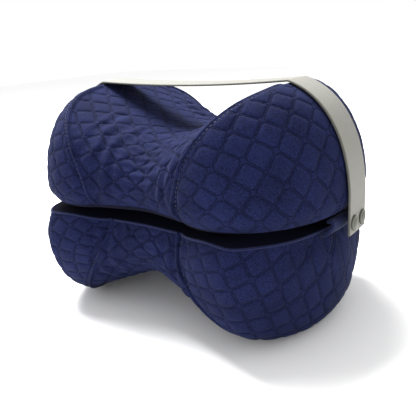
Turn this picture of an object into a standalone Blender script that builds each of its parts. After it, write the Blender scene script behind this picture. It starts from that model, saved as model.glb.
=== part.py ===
# Knee pillow: two filled, quilted halves with saddles, joined at their ends and held by an elastic strap.
# Metres, +Z up. X runs from end to end, the legs lie along Y, and the origin is under the middle.

import math

import bmesh
import bpy
import numpy as np
from mathutils import Vector
from mathutils.geometry import delaunay_2d_cdt

# The lower half stands on its lobes, and this is the height of the plane between the halves.
LOWER_HEIGHT = 0.0917
FACING_GAP = 0.0003

# Power of the rounded-square section at the waist: 2 is round, more is squarer.
WAIST_POWER = 2.8

# How soon the lobe's section turns from its shoulder's power to its tip's one.
TIP_TURN_RATE = 1.25

# Quilting and seams.
QUILT_CELL = 0.0152
PAD_RISE = 0.0010
GROOVE_DROP = 0.0011
SEAM_DROP = 0.0008
WELT_RISE = 0.0011
WELT_FROM_SEAM = 0.0038
QUILT_FROM_SEAM = 0.0070
QUILT_FROM_EDGE = 0.0045
SEAM_STEPS = 34
SIDE_STEPS = 8
CAP_STEPS = 15
ARC_SAMPLES = 80
RUN_STEPS = 12
FACING_MARGIN = 0.006

# The cloth's length across the saddle is measured at this share of the way to the seam.
MEASURED_AT = 0.72

# Places in a quilting cell: crossing, middles of two lines, and four points on the pad.
GROOVE_PLACES = ((0.0, 0.0), (0.5, 0.0), (0.0, 0.5))
PAD_PLACES = ((0.27, 0.27), (0.73, 0.27), (0.27, 0.73), (0.73, 0.73))

# The elastic strap, its snap caps and the cloth bands that join the halves.
STRAP_WIDTH = 0.030
STRAP_THICKNESS = 0.0015
STRAP_CLEARANCE = 0.0006
STRAP_END = -0.0145
STRAP_SAG = 0.0030
STRAP_PRESS_WIDTH = 0.019
STRAP_PRESS_EASE = 0.004
STRAP_PRESS_LEFT = 0.3
STRAP_TAIL_STEPS = 5
STRAP_OVER_STEPS = 20
SNAP_RADIUS = 0.0055
SNAP_HEIGHT = 0.0021
SNAP_SPACING = 0.0150
SNAP_LEVEL = -0.0064
SNAP_SEAT_GAP = 0.0003
GUSSET_HALF_SPAN = 0.027
GUSSET_INSET_TOP = 0.0082
GUSSET_INSET_BOTTOM = 0.0112
GUSSET_THICKNESS = 0.0018
GUSSET_TOP = -0.0002
GUSSET_BOTTOM = -0.0086
GUSSET_STEPS = 16

# Driving dimensions of each half. Heights are measured from the plane between the halves.
# A lobe is widest at lobe_centre, and rounds off to the tip at length and over to_waist towards the waist.
# The seam between saddle and end panel runs from seam_at_side, at the edge, up to seam, on the crown.
# In edges, each pair is a distance along X from the middle and the height of the half's edge there.
# The lip is how far a half curls in at its edge, and the height over which it does so.
# In rolls, each pair is a distance in from the edge and the share of the edge's height that is left there.
# A panel's quilting is turned by so many degrees on its flat cloth, and then moved by a share of a cell each way.
UPPER = {
    "name": "upper_cushion",
    "side": 1,
    "length": 0.1357,
    "lobe_width": 0.0946,
    "waist_width": 0.0819,
    "crown": 0.0905,
    "waist": 0.0541,
    "lobe_centre": 0.0633,
    "to_waist": 0.0584,
    "seam": 0.0909,
    "seam_at_side": 0.0439,
    "shoulder_power": 2.88,
    "tip_power": 2.37,
    "plan_power": 1.98,
    "profile_power": 2.45,
    "softness": 0.288,
    "edges": ((0.0, 0.0066), (0.1357, 0.0015)),
    "lip": (0.0065, 0.0145),
    "rolls": ((0.0015, 0.50), (0.0050, 0.12)),
    "cap_quilt": (47.0, 0.28, 0.18),
    "saddle_quilt": (50.0, 0.32, 0.06),
}
LOWER = {
    "name": "lower_cushion",
    "side": -1,
    "length": 0.1310,
    "lobe_width": 0.0990,
    "waist_width": 0.0822,
    "crown": 0.0957,
    "waist": 0.0611,
    "lobe_centre": 0.0852,
    "to_waist": 0.0888,
    "seam": 0.0973,
    "seam_at_side": 0.0363,
    "shoulder_power": 2.76,
    "tip_power": 2.47,
    "plan_power": 1.66,
    "profile_power": 3.17,
    "softness": 0.248,
    "edges": ((0.0, 0.0085), (0.035, 0.0093), (0.070, 0.0048), (0.095, 0.0060), (0.1310, 0.0098)),
    "lip": (0.0083, 0.0290),
    "rolls": ((0.0090, 0.93), (0.0170, 0.80), (0.0230, 0.12)),
    "cap_quilt": (35.0, 0.7, 0.6),
    "saddle_quilt": (48.0, 0.7, 0.42),
}

# No curl takes more than this share of a point's distance from the middle of its lobe.
LIP_LIMIT = 0.6


def section(angle, power):
    """Point of a rounded unit square at this angle: 0 is the -Y side, half a turn the +Y side."""
    cosine = math.cos(angle)
    sine = abs(math.sin(angle))
    reach = (abs(cosine) ** power + sine ** power) ** (-1 / power)
    return cosine * reach, sine * reach


def smooth(value):
    """Ease from 0 to 1."""
    value = min(max(value, 0.0), 1.0)
    return value * value * (3 - 2 * value)


def edge_height(half, x):
    """Distance from the plane between the halves to the edge of this one."""
    rows = half["edges"]
    for (start, low), (end, high) in zip(rows, rows[1:]):
        if abs(x) <= end:
            return low + (high - low) * smooth((abs(x) - start) / (end - start))
    return rows[-1][1]


def lobe_swell(half, x, power):
    """Size of the lobe's section at x, against its widest one: power is for the side towards the tip."""
    away = x - half["lobe_centre"]
    if away > 0:
        return max(0.0, 1 - (away / (half["length"] - half["lobe_centre"])) ** power) ** (1 / power)
    return math.sqrt(1 - (away / half["to_waist"]) ** 2)


def curled(half, point):
    """Curl the lips of the mouth in, so that a half rounds off towards its edge."""
    inset, height = half["lip"]
    share = (point.z - edge_height(half, point.x)) / height
    spine = min(max(point.x, -half["lobe_centre"]), half["lobe_centre"])
    outward = Vector((point.x - spine, point.y, 0))
    if share >= 1 or outward.length < 1e-9:
        return point
    curl = min(inset * (1 - max(share, 0.0)) ** 2, outward.length * LIP_LIMIT)
    return point - outward.normalized() * curl


def lobe_form(half, x, angle):
    """Point of the end panel on the +X side, before its lip is curled in."""
    outward = smooth(TIP_TURN_RATE * (x - half["lobe_centre"]) / (half["length"] - half["lobe_centre"]))
    shoulder = half["shoulder_power"]
    across, up = section(angle, shoulder + (half["tip_power"] - shoulder) * outward)
    edge = edge_height(half, x)
    power = half["profile_power"]
    rise = (half["crown"] - edge) * lobe_swell(half, x, power) / lobe_swell(half, half["seam"], power)
    width = half["lobe_width"] * lobe_swell(half, x, half["plan_power"])
    return Vector((x, -width * across, edge + rise * up))


def lobe_point(half, x, angle):
    """Point of the end panel on the +X side."""
    return curled(half, lobe_form(half, x, angle))


def seam_x(half, angle):
    """Where the seam lies along X at this angle."""
    up = section(angle, half["shoulder_power"])[1]
    return half["seam_at_side"] + (half["seam"] - half["seam_at_side"]) * up * up


def saddle_point(half, along, angle):
    """Point of the saddle panel: along is 0 at the waist and 1 or -1 at the seams."""
    reach = seam_x(half, angle)
    seam = lobe_form(half, reach, angle)
    across, up = section(angle, WAIST_POWER)
    edge = edge_height(half, 0.0)
    waist = Vector((0, -half["waist_width"] * across, edge + (half["waist"] - edge) * up))
    soft = half["softness"]
    rise = (math.sqrt(along * along + soft * soft) - soft) / (math.sqrt(1 + soft * soft) - soft)
    point = waist.lerp(seam, rise)
    return curled(half, Vector((along * reach, point.y, point.z)))


def run_lengths(points):
    """Distance from the first point to each one."""
    lengths = [0.0]
    for before, after in zip(points, points[1:]):
        lengths.append(lengths[-1] + (after - before).length)
    return lengths


def cloth_tables(half):
    """Tables that turn a place on the flat cloth into one on the pillow."""
    angles = np.linspace(0, math.pi, ARC_SAMPLES)
    across = [saddle_point(half, MEASURED_AT, angle) for angle in angles]
    rows = np.array(run_lengths(across))
    widths = []
    for angle in angles:
        run = [saddle_point(half, step / RUN_STEPS, angle) for step in range(RUN_STEPS + 1)]
        widths.append(run_lengths(run)[-1])
    centre = half["lobe_centre"]
    xs = centre + (half["length"] - centre) * np.cos(np.linspace(0, math.pi / 2, ARC_SAMPLES))
    xs = np.concatenate([xs, np.linspace(centre, half["seam_at_side"], ARC_SAMPLES)[1:]])
    meridian = [Vector((x, half["lobe_width"] * lobe_swell(half, x, half["plan_power"]))) for x in xs]
    return {
        "angles": angles,
        "rows": rows - rows[-1] / 2,
        "widths": np.array(widths),
        "cap_x": xs,
        "cap_run": np.array(run_lengths(meridian)),
    }


def lattice_points(reach, quilt):
    """Places of the quilting on flat cloth: crossings, middles of the lines, and four pad points a cell."""
    cell_places = [(u, v, -GROOVE_DROP) for u, v in GROOVE_PLACES]
    cell_places += [(u, v, PAD_RISE) for u, v in PAD_PLACES]
    count = int(reach / QUILT_CELL) + 2
    degrees, shift_u, shift_v = quilt
    cosine = math.cos(math.radians(degrees))
    sine = math.sin(math.radians(degrees))
    for row in range(-count, count):
        for column in range(-count, count):
            for u, v, relief in cell_places:
                s = (column + u + shift_u) * QUILT_CELL
                t = (row + v + shift_v) * QUILT_CELL
                yield s * cosine - t * sine, s * sine + t * cosine, relief


def pressed(point, relief):
    """The strap presses the quilting flat under it."""
    far = smooth((abs(point.y) - STRAP_PRESS_WIDTH) / STRAP_PRESS_EASE)
    return relief * far if relief > 0 else relief * max(far, STRAP_PRESS_LEFT)


def seam_angles():
    """Angles of the seam's points."""
    return [math.pi * step / SEAM_STEPS for step in range(SEAM_STEPS + 1)]


def cap_edge_x(tables):
    """X of the end panel's edge points, from the tip back to the side of the waist."""
    runs = np.linspace(0, tables["cap_run"][-1], CAP_STEPS + 1)
    return [float(x) for x in np.interp(runs, tables["cap_run"], tables["cap_x"])]


def add_panel(bm, relief_layer, outline, inner, mirror):
    """Mesh one panel in its flat shape, then put it on the pillow."""
    places = outline + inner
    flat = [Vector((place[0], place[1])) for place in places]
    ring = list(range(len(outline)))
    found, _, triangles, sources, _, _ = delaunay_2d_cdt(flat, [], [ring], 1, 1e-7)
    verts = []
    for index in range(len(found)):
        place = places[sources[index][0]]
        point = place[2].copy()
        if mirror:
            point.x = -point.x
        vert = bm.verts.new(point)
        vert[relief_layer] = pressed(point, place[3])
        verts.append(vert)
    for triangle in triangles:
        bm.faces.new([verts[index] for index in triangle])


def cap_panel(half, tables):
    """Flat outline and quilting of an end panel, as a half disc about the tip."""
    cap_x = tables["cap_x"]
    cap_run = tables["cap_run"]
    outline = []
    for angle in seam_angles():
        x = seam_x(half, angle)
        run = float(np.interp(-x, -cap_x, cap_run))
        flat = (run * math.cos(angle), run * math.sin(angle))
        outline.append((*flat, lobe_point(half, x, angle), -SEAM_DROP))
    edge = cap_edge_x(tables)
    for x in reversed(edge[:-1]):
        run = float(np.interp(-x, -cap_x, cap_run))
        outline.append((-run, 0.0, lobe_point(half, x, math.pi), 0.0))
    for x in edge[1:-1]:
        run = float(np.interp(-x, -cap_x, cap_run))
        outline.append((run, 0.0, lobe_point(half, x, 0.0), 0.0))
    inner = []
    for s, t, relief in lattice_points(cap_run[-1], half["cap_quilt"]):
        run = math.hypot(s, t)
        if t < QUILT_FROM_EDGE or run < QUILT_FROM_EDGE:
            continue
        angle = math.atan2(t, s)
        limit = float(np.interp(-seam_x(half, angle), -cap_x, cap_run))
        if run > limit - QUILT_FROM_EDGE:
            continue
        x = float(np.interp(run, cap_run, cap_x))
        inner.append((s, t, lobe_point(half, x, angle), relief))
    return outline, inner


def saddle_panel(half, tables):
    """Flat outline and quilting of the saddle panel, with the welt beside each seam."""
    angles = tables["angles"]
    rows = tables["rows"]
    widths = tables["widths"]
    outline = []
    inner = []
    for angle in seam_angles():
        row = float(np.interp(angle, angles, rows))
        width = float(np.interp(angle, angles, widths))
        outline.append((width, row, saddle_point(half, 1.0, angle), -SEAM_DROP))
        if 0 < angle < math.pi - 1e-6:
            welt = 1 - WELT_FROM_SEAM / width
            for way in (-1, 1):
                place = saddle_point(half, way * welt, angle)
                inner.append((way * welt * width, row, place, WELT_RISE))
    for step in range(1, SIDE_STEPS):
        along = 1 - 2 * step / SIDE_STEPS
        outline.append((along * widths[-1], rows[-1], saddle_point(half, along, math.pi), 0.0))
    for angle in reversed(seam_angles()):
        row = float(np.interp(angle, angles, rows))
        width = float(np.interp(angle, angles, widths))
        outline.append((-width, row, saddle_point(half, -1.0, angle), -SEAM_DROP))
    for step in range(1, SIDE_STEPS):
        along = -1 + 2 * step / SIDE_STEPS
        outline.append((along * widths[0], rows[0], saddle_point(half, along, 0.0), 0.0))
    for s, t, relief in lattice_points(rows[-1] + widths.max(), half["saddle_quilt"]):
        if abs(t) > rows[-1] - QUILT_FROM_EDGE:
            continue
        angle = float(np.interp(t, rows, angles))
        width = float(np.interp(angle, angles, widths))
        if abs(s) > width - QUILT_FROM_SEAM:
            continue
        inner.append((s, t, saddle_point(half, s / width, angle), relief))
    return outline, inner


def edge_loop(half, tables):
    """The edge of a half, in order round it, seen from above."""
    edge = cap_edge_x(tables)
    loop = []
    for step in range(SIDE_STEPS):
        loop.append(saddle_point(half, -1 + 2 * step / SIDE_STEPS, 0.0))
    loop += [lobe_point(half, x, 0.0) for x in reversed(edge[1:])]
    loop += [lobe_point(half, x, math.pi) for x in edge[:-1]]
    for step in range(SIDE_STEPS):
        loop.append(saddle_point(half, 1 - 2 * step / SIDE_STEPS, math.pi))
    for x in reversed(edge[1:]):
        point = lobe_point(half, x, math.pi)
        loop.append(Vector((-point.x, point.y, point.z)))
    for x in edge[:-1]:
        point = lobe_point(half, x, 0.0)
        loop.append(Vector((-point.x, point.y, point.z)))
    return loop


def add_facing(bm, half, tables):
    """Roll the edge in and close the half with its flat facing."""
    loop = edge_loop(half, tables)
    count = len(loop)
    facing = FACING_GAP / 2
    inward = []
    for index in range(count):
        run = loop[(index + 1) % count] - loop[index - 1]
        inward.append(Vector((-run.y, run.x, 0)).normalized())
    rings = [[bm.verts.new(point) for point in loop]]
    for inset, share in half["rolls"]:
        ring = []
        for point, way in zip(loop, inward):
            place = point + way * inset
            place.z = facing + (point.z - facing) * share
            ring.append(bm.verts.new(place))
        rings.append(ring)
    last_inset = half["rolls"][-1][0] + FACING_MARGIN
    flat = []
    for point, way in zip(loop, inward):
        place = point + way * last_inset
        place.z = facing
        flat.append(bm.verts.new(place))
    rings.append(flat)
    for outer, inner in zip(rings, rings[1:]):
        for index in range(count):
            after = (index + 1) % count
            bm.faces.new((outer[index], outer[after], inner[after], inner[index]))
    bm.faces.new(flat)


def cloth(name, colour, roughness):
    """A plain cloth or moulded material in the colour of the real one."""
    material = bpy.data.materials.new(name)
    material.use_nodes = True
    shader = material.node_tree.nodes["Principled BSDF"]
    shader.inputs["Base Color"].default_value = (*colour, 1)
    shader.inputs["Roughness"].default_value = roughness
    shader.inputs["Metallic"].default_value = 0
    return material


def finish_object(name, bm, material):
    """Turn the mesh into a named object."""
    bmesh.ops.recalc_face_normals(bm, faces=bm.faces)
    if bm.calc_volume(signed=True) < 0:
        bmesh.ops.reverse_faces(bm, faces=bm.faces)
    mesh = bpy.data.meshes.new(name)
    bm.to_mesh(mesh)
    bm.free()
    mesh.materials.append(material)
    item = bpy.data.objects.new(name, mesh)
    bpy.context.collection.objects.link(item)
    return item


def make_cushion(half, material):
    """One filled half: saddle, two end panels and facing, with the quilting raised in it."""
    tables = cloth_tables(half)
    bm = bmesh.new()
    relief = bm.verts.layers.float.new("relief")
    outline, inner = saddle_panel(half, tables)
    add_panel(bm, relief, outline, inner, False)
    outline, inner = cap_panel(half, tables)
    add_panel(bm, relief, outline, inner, False)
    add_panel(bm, relief, outline, inner, True)
    add_facing(bm, half, tables)
    bmesh.ops.remove_doubles(bm, verts=bm.verts, dist=1e-5)
    bmesh.ops.recalc_face_normals(bm, faces=bm.faces)
    bm.normal_update()
    moves = [(vert, vert.normal * vert[relief]) for vert in bm.verts]
    for vert, move in moves:
        vert.co += move
    for vert in bm.verts:
        height = min(vert.co.z, LOWER_HEIGHT) if half["side"] < 0 else vert.co.z
        vert.co.z = LOWER_HEIGHT + half["side"] * height
    item = finish_object(half["name"], bm, material)
    item.data.shade_smooth()
    return item


def strap_over():
    """Line of the upper half's end under the strap, in X and height, from its furthest point up to the seam."""
    over = []
    for step in range(STRAP_OVER_STEPS + 1):
        share = math.cos(math.pi / 2 * step / STRAP_OVER_STEPS)
        x = UPPER["seam"] + (UPPER["length"] - UPPER["seam"]) * share
        point = lobe_point(UPPER, x, math.pi / 2)
        over.append(Vector((point.x, point.z)))
    furthest = max(range(len(over)), key=lambda index: over[index].x)
    return over[furthest:]


def strap_path():
    """Strap's inner face in X and height, from the lower end on the +X side round to the -X side."""
    over = strap_over()
    side = []
    for step in range(STRAP_TAIL_STEPS + 1):
        level = STRAP_END + (over[0].y - STRAP_END) * step / STRAP_TAIL_STEPS
        side.append(Vector((over[0].x + STRAP_CLEARANCE, level)))
    for index in range(1, len(over)):
        run = over[min(index + 1, len(over) - 1)] - over[index - 1]
        side.append(over[index] + Vector((run.y, -run.x)).normalized() * STRAP_CLEARANCE)
    top = side[-1]
    span = []
    for step in range(1, 20):
        along = 1 - step / 10
        span.append(Vector((top.x * along, top.y - STRAP_SAG * (1 - along * along))))
    back = [Vector((-point.x, point.y)) for point in reversed(side)]
    return side + span + back


def make_strap(material):
    """Flat elastic band swept along its path."""
    path = strap_path()
    bm = bmesh.new()
    rows = []
    for index, point in enumerate(path):
        before = path[max(index - 1, 0)]
        after = path[min(index + 1, len(path) - 1)]
        run = (after - before).normalized()
        outward = Vector((run.y, -run.x))
        row = []
        for lift, across in ((0, -1), (1, -1), (1, 1), (0, 1)):
            place = point + outward * STRAP_THICKNESS * lift
            row.append(bm.verts.new((place.x, across * STRAP_WIDTH / 2, LOWER_HEIGHT + place.y)))
        rows.append(row)
    for before, after in zip(rows, rows[1:]):
        for corner in range(4):
            follow = (corner + 1) % 4
            bm.faces.new((before[corner], before[follow], after[follow], after[corner]))
    bm.faces.new(rows[0])
    bm.faces.new(rows[-1])
    return finish_object("strap", bm, material)


def make_snap(name, side, across, material):
    """Domed snap cap on the outer face of the strap's end."""
    seat = strap_over()[0].x + STRAP_CLEARANCE + STRAP_THICKNESS + SNAP_SEAT_GAP
    profile = ((1.0, 0.0), (1.0, 0.30), (0.90, 0.62), (0.62, 0.88), (0.30, 0.98))
    segments = 20
    bm = bmesh.new()
    rings = []
    for reach, height in profile:
        ring = []
        for step in range(segments):
            turn = 2 * math.pi * step / segments
            place = (
                side * (seat + SNAP_HEIGHT * height),
                across + SNAP_RADIUS * reach * math.cos(turn),
                LOWER_HEIGHT + SNAP_LEVEL + SNAP_RADIUS * reach * math.sin(turn),
            )
            ring.append(bm.verts.new(place))
        rings.append(ring)
    for outer, inner in zip(rings, rings[1:]):
        for index in range(segments):
            after = (index + 1) % segments
            bm.faces.new((outer[index], outer[after], inner[after], inner[index]))
    bm.faces.new(rings[0])
    bm.faces.new(rings[-1])
    item = finish_object(name, bm, material)
    item.data.shade_smooth()
    item.data.set_sharp_from_angle(angle=math.radians(50))
    return item


def make_gusset(name, side, material):
    """Cloth band that closes the mouth behind the strap, leaning in towards the lower half."""
    power = UPPER["plan_power"]
    width = UPPER["lobe_width"]
    centre = UPPER["lobe_centre"]
    to_tip = UPPER["length"] - centre
    bm = bmesh.new()
    rows = []
    for step in range(GUSSET_STEPS + 1):
        y = GUSSET_HALF_SPAN * (2 * step / GUSSET_STEPS - 1)
        share = abs(y) / width
        reach = (1 - share ** power) ** (1 / power)
        point = Vector((centre + to_tip * reach, y))
        lean = share ** (power - 1) / width
        outward = Vector((reach ** (power - 1) / to_tip, math.copysign(lean, y))).normalized()
        row = []
        for inner, level in ((0, 0), (1, 0), (1, 1), (0, 1)):
            inset = GUSSET_INSET_BOTTOM + (GUSSET_INSET_TOP - GUSSET_INSET_BOTTOM) * level
            place = point - outward * (inset + GUSSET_THICKNESS * inner)
            height = GUSSET_BOTTOM + (GUSSET_TOP - GUSSET_BOTTOM) * level
            row.append(bm.verts.new((side * place.x, place.y, LOWER_HEIGHT + height)))
        rows.append(row)
    for before, after in zip(rows, rows[1:]):
        for corner in range(4):
            follow = (corner + 1) % 4
            bm.faces.new((before[corner], before[follow], after[follow], after[corner]))
    bm.faces.new(rows[0])
    bm.faces.new(rows[-1])
    return finish_object(name, bm, material)


for old in list(bpy.data.objects):
    bpy.data.objects.remove(old, do_unlink=True)

navy_knit = cloth("navy_quilted_knit", (0.030, 0.036, 0.130), 0.85)
grey_elastic = cloth("grey_elastic", (0.330, 0.330, 0.300), 0.75)
grey_snap = cloth("grey_snap_plastic", (0.250, 0.255, 0.215), 0.45)

make_cushion(UPPER, navy_knit)
make_cushion(LOWER, navy_knit)
make_gusset("gusset_right", 1, navy_knit)
make_gusset("gusset_left", -1, navy_knit)
make_strap(grey_elastic)
for side, side_name in ((1, "right"), (-1, "left")):
    for way, way_name in ((-1, "near"), (1, "far")):
        make_snap(f"snap_{side_name}_{way_name}", side, way * SNAP_SPACING / 2, grey_snap)
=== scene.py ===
# A knee pillow: two filled and quilted halves joined at their ends, under an elastic strap with snap caps.

import math

import bmesh
import bpy
import numpy as np
from mathutils import Matrix, Vector


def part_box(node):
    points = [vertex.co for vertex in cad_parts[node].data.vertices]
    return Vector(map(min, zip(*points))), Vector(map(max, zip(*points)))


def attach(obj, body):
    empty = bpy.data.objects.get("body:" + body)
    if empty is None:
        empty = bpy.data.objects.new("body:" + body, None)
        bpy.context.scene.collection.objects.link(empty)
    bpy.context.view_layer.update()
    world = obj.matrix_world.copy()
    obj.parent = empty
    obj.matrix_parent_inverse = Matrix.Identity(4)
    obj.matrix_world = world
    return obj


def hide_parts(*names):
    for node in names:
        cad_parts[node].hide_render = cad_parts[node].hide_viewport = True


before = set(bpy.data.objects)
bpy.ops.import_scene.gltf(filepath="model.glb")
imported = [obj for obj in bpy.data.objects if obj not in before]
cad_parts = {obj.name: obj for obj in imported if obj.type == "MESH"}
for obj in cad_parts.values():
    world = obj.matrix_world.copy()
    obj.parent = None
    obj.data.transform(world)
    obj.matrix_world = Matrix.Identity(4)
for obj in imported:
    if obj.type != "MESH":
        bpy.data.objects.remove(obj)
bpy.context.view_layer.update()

# The camera stands off one end of the pillow and a little above it, turned slightly about its view.
# Its turn, height, roll and lens come from the way the seams and the strap run in the picture.
VIEW_TURN = math.radians(37.08)
VIEW_RISE = math.radians(17.33)
VIEW_ROLL = math.radians(-3.77)
VIEW_TARGET = Vector((0.0034, 0.0027, 0.0789))
VIEW_DISTANCE = 0.4524
VIEW_LENS = 45.23

view_back = Vector((
    math.sin(VIEW_TURN) * math.cos(VIEW_RISE),
    -math.cos(VIEW_TURN) * math.cos(VIEW_RISE),
    math.sin(VIEW_RISE),
))
level_right = Vector((math.cos(VIEW_TURN), math.sin(VIEW_TURN), 0))
level_up = view_back.cross(level_right)
view_right = level_right * math.cos(VIEW_ROLL) + level_up * math.sin(VIEW_ROLL)
view_up = level_up * math.cos(VIEW_ROLL) - level_right * math.sin(VIEW_ROLL)
camera_data = bpy.data.cameras.new("camera")
camera_data.lens = VIEW_LENS
camera_data.sensor_width = 36
camera_data.sensor_fit = "HORIZONTAL"
camera = bpy.data.objects.new("camera", camera_data)
camera.matrix_world = Matrix((view_right, view_up, view_back)).transposed().to_4x4()
camera.location = VIEW_TARGET + view_back * VIEW_DISTANCE
bpy.context.collection.objects.link(camera)
bpy.context.scene.camera = camera

# The two filled halves: moulded foam in a quilted knit cover, cut as a saddle panel and two end panels.
# The seams between the panels are rolled to the saddle's side, and each half is closed by a plain facing.
# The upper half lies on the lower one, and both are drawn in at the waist, where the cloth is gathered.
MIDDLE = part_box("lower_cushion")[1][2] + 0.00015
WAIST_POWER = 2.8
TIP_TURN_RATE = 1.25
MEASURED_AT = 0.72
LIP_LIMIT = 0.6
FACING_LEVEL = 0.00025
QUILT_CELL = 0.0152
QUILT_LINE_FROM_MIDDLE = 0.00065
ROUND_CORNER = 0.0029
PLAIN_CORNER = 0.0009
PAD_HEIGHT = 0.00062
PAD_SHOULDER = 0.0017
PAD_LEAST = 0.80
PAD_SPREAD = 0.40
LINE_DEPTH = 0.00034
LINE_WIDTH = 0.00050
WELT_WIDTH = 0.0046
WELT_HEIGHT = 0.0015
CREASE_DEPTH = 0.0013
CREASE_WIDTH = 0.0011
STRIP_HEIGHT = 0.00016
QUILT_SINK = 0.0004
QUILT_FADE = 0.0030
QUILT_EDGE_FADE = 0.0050
CAP_FADE_START = 0.0006
PRESSED_HALF_WIDTH = 0.0165
GATHER_HEIGHT = 0.0005
GATHER_SPACING = 0.0105
GATHER_SPREAD = 0.42
GATHER_FROM_MIDDLE = 0.030
GATHER_SWAY = 1.2
GATHER_SWAY_RATE = 45
GATHER_EDGE_FADE = 0.012
BULGE_HEIGHT = 0.0007
BULGE_SCALE = 0.060
BULGE_FADE = (0.012, 0.02)
BULGE_FROM_STRAP = (PRESSED_HALF_WIDTH, 0.010)
PRESSED_FADE = 0.0035
PRESSED_LEFT = 0.25
FACING_STEPS = 10
FACING_EASE = 0.006
FACING_CELL = 0.5
ROLLED_CELL = 0.498
MERGE_DISTANCE = 3e-6
FOLD_SPACING = 0.0125
FOLD_HEIGHT = 0.00075
FOLD_DRIFT = 2.2
FOLD_DRIFT_SCALE = 0.030
FOLD_FADE_IN = (0.010, 0.014)
FOLD_FADE_OUT = (0.046, 0.012)
FOLD_FROM_MIDDLE = 0.022
FOLD_EDGE_FADE = (0.001, 0.006)
PUCKER_LEVEL = 0.0165
PUCKER_WIDTH = 0.0012
PUCKER_LENGTH = 0.008
PUCKER_FAN = 0.012
PUCKER_FADE_IN = (0.060, 0.020)
PUCKERS = ((-0.0052, 0.0008), (-0.0010, 0.0013), (0.0034, 0.0010), (0.0080, 0.0006))
ACROSS_STEPS = 250
SADDLE_STEPS = 156
CAP_STEPS = 88
CAP_CROWDING = 0.9
CAP_TABLE_STEPS = (400, 200)

# A lobe is widest at lobe_centre, and rounds off to the tip at length and over to_waist towards the waist.
# The seam between saddle and end panel runs from seam_at_side, at the edge, up to seam, on the crown.
UPPER = {
    "name": "upper_half",
    "pucker_y": None,
    "node": "upper_cushion",
    "side": 1,
    "length": 0.1357,
    "lobe_width": 0.0946,
    "waist_width": 0.0819,
    "crown": 0.0905,
    "waist": 0.0541,
    "lobe_centre": 0.0633,
    "to_waist": 0.0584,
    "seam": 0.0909,
    "seam_at_side": 0.0439,
    "shoulder_power": 2.88,
    "tip_power": 2.37,
    "plan_power": 1.98,
    "profile_power": 2.45,
    "softness": 0.288,
    "edge_x": np.array((0.0, 0.1357)),
    "edge_z": np.array((0.0066, 0.0015)),
    "lip": (0.0065, 0.0145),
    "edge_roll": ((0.0003, 0.86), (0.0009, 0.66), (0.0019, 0.44), (0.0033, 0.25), (0.0052, 0.10)),
    "cap_quilt": (47.0, 0.28, 0.18),
    "saddle_quilt": (50.0, 0.32, 0.06),
    "seed": 4,
}
LOWER = {
    "name": "lower_half",
    "pucker_y": -0.045,
    "node": "lower_cushion",
    "side": -1,
    "length": 0.1310,
    "lobe_width": 0.0990,
    "waist_width": 0.0822,
    "crown": 0.0957,
    "waist": 0.0611,
    "lobe_centre": 0.0852,
    "to_waist": 0.0888,
    "seam": 0.0973,
    "seam_at_side": 0.0363,
    "shoulder_power": 2.76,
    "tip_power": 2.47,
    "plan_power": 1.66,
    "profile_power": 3.17,
    "softness": 0.248,
    "edge_x": np.array((0.0, 0.035, 0.070, 0.095, 0.1310)),
    "edge_z": np.array((0.0085, 0.0093, 0.0048, 0.0060, 0.0098)),
    "lip": (0.0083, 0.0290),
    "edge_roll": (
        (0.0007, 1.03), (0.0020, 1.00), (0.0090, 0.93), (0.0170, 0.80), (0.0205, 0.46), (0.0230, 0.12),
    ),
    "cap_quilt": (35.0, 0.7, 0.6),
    "saddle_quilt": (48.0, 0.7, 0.42),
    "seed": 9,
}


def smooth(value):
    """Ease from 0 to 1."""
    value = np.clip(value, 0.0, 1.0)
    return value * value * (3 - 2 * value)


def eased(value, fade):
    """Ease from 0 to 1 over a fade, given as its start and its length."""
    start, length = fade
    return smooth((value - start) / length)


def rounded_square(angle, power):
    """Point of a rounded unit square: angle 0 is the -Y side, half a turn the +Y side."""
    cosine = np.cos(angle)
    sine = np.abs(np.sin(angle))
    reach = (np.abs(cosine) ** power + sine ** power) ** (-1 / power)
    return cosine * reach, sine * reach


def edge_height(half, x):
    """Height of a half's edge over the plane between the halves."""
    starts = half["edge_x"]
    levels = half["edge_z"]
    place = np.abs(x)
    index = np.clip(np.searchsorted(starts, place) - 1, 0, len(starts) - 2)
    share = smooth((place - starts[index]) / (starts[index + 1] - starts[index]))
    return levels[index] + (levels[index + 1] - levels[index]) * share


def lobe_swell(half, x, power):
    """Size of a lobe's section at x against its widest one."""
    away = x - half["lobe_centre"]
    to_tip = half["length"] - half["lobe_centre"]
    outer = np.clip(1 - np.clip(away / to_tip, 0, 1) ** power, 0, 1) ** (1 / power)
    inner = np.sqrt(np.clip(1 - (away / half["to_waist"]) ** 2, 0, 1))
    return np.where(away > 0, outer, inner)


def curled(half, points):
    """Curl the lips of the mouth in, so that a half rounds off towards its edge."""
    inset, height = half["lip"]
    share = np.clip((points[..., 2] - edge_height(half, points[..., 0])) / height, 0, 1)
    outward = points.copy()
    outward[..., 0] -= np.clip(points[..., 0], -half["lobe_centre"], half["lobe_centre"])
    outward[..., 2] = 0
    length = np.linalg.norm(outward, axis=-1) + 1e-9
    curl = np.minimum(inset * (1 - share) ** 2, length * LIP_LIMIT)
    return points - outward * (curl / length)[..., None]


def lobe_form(half, x, angle):
    """Points of the end panel on the +X side, before its lip is curled in."""
    outward = smooth(TIP_TURN_RATE * (x - half["lobe_centre"]) / (half["length"] - half["lobe_centre"]))
    shoulder = half["shoulder_power"]
    across, up = rounded_square(angle, shoulder + (half["tip_power"] - shoulder) * outward)
    edge = edge_height(half, x)
    power = half["profile_power"]
    rise = (half["crown"] - edge) * lobe_swell(half, x, power) / lobe_swell(half, half["seam"], power)
    y = -half["lobe_width"] * lobe_swell(half, x, half["plan_power"]) * across
    return np.stack(np.broadcast_arrays(x, y, edge + rise * up), axis=-1)


def lobe_point(half, x, angle):
    """Points of the end panel on the +X side."""
    return curled(half, lobe_form(half, x, angle))


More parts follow.
